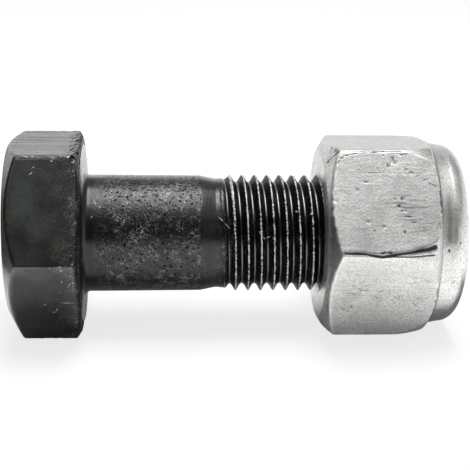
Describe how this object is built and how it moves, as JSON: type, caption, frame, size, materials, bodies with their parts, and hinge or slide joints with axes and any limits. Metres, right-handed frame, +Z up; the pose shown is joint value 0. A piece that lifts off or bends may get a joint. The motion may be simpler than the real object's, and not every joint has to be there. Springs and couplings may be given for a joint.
{
  "type": "bolt with nut",
  "caption": "Black hexagon head bolt with a plain shank and a short machine thread, and a high zinc-plated lock nut with a nylon ring, run part of the way on.",
  "frame": {"origin": "on the bolt's axis, in the plane of the face under the head that clamps", "axes": "+X along the axis from the head to the tip, +Z up with the bolt lying on one flat of its head, +Y away from the camera's side"},
  "size_m": [0.0531, 0.0254, 0.0232],
  "materials": {
    "black_steel": "satin",
    "zinc_steel": "satin",
    "nylon": "matte"
  },
  "bodies": {
    "bolt": {"bolt": "black_steel"},
    "nylon_ring": {"nylon_ring": "nylon"},
    "nut": {"lock_nut": "zinc_steel"}
  },
  "joints": [
    {"name": "nut_travel", "type": "slide", "parent": "bolt", "child": "nylon_ring", "axis": [1, 0, 0], "range_m": [-0.0114, 0.0137]},
    {"name": "nut_turn", "type": "hinge", "parent": "nylon_ring", "child": "nut", "pos_m": [0.03, 0, 0], "axis": [1, 0, 0], "range_deg": [-2700, 3240]}
  ],
  "couplings": [
    {"joint": "nut_travel", "follows": "nut_turn", "m_per_rad": 0.00023873}
  ]
}
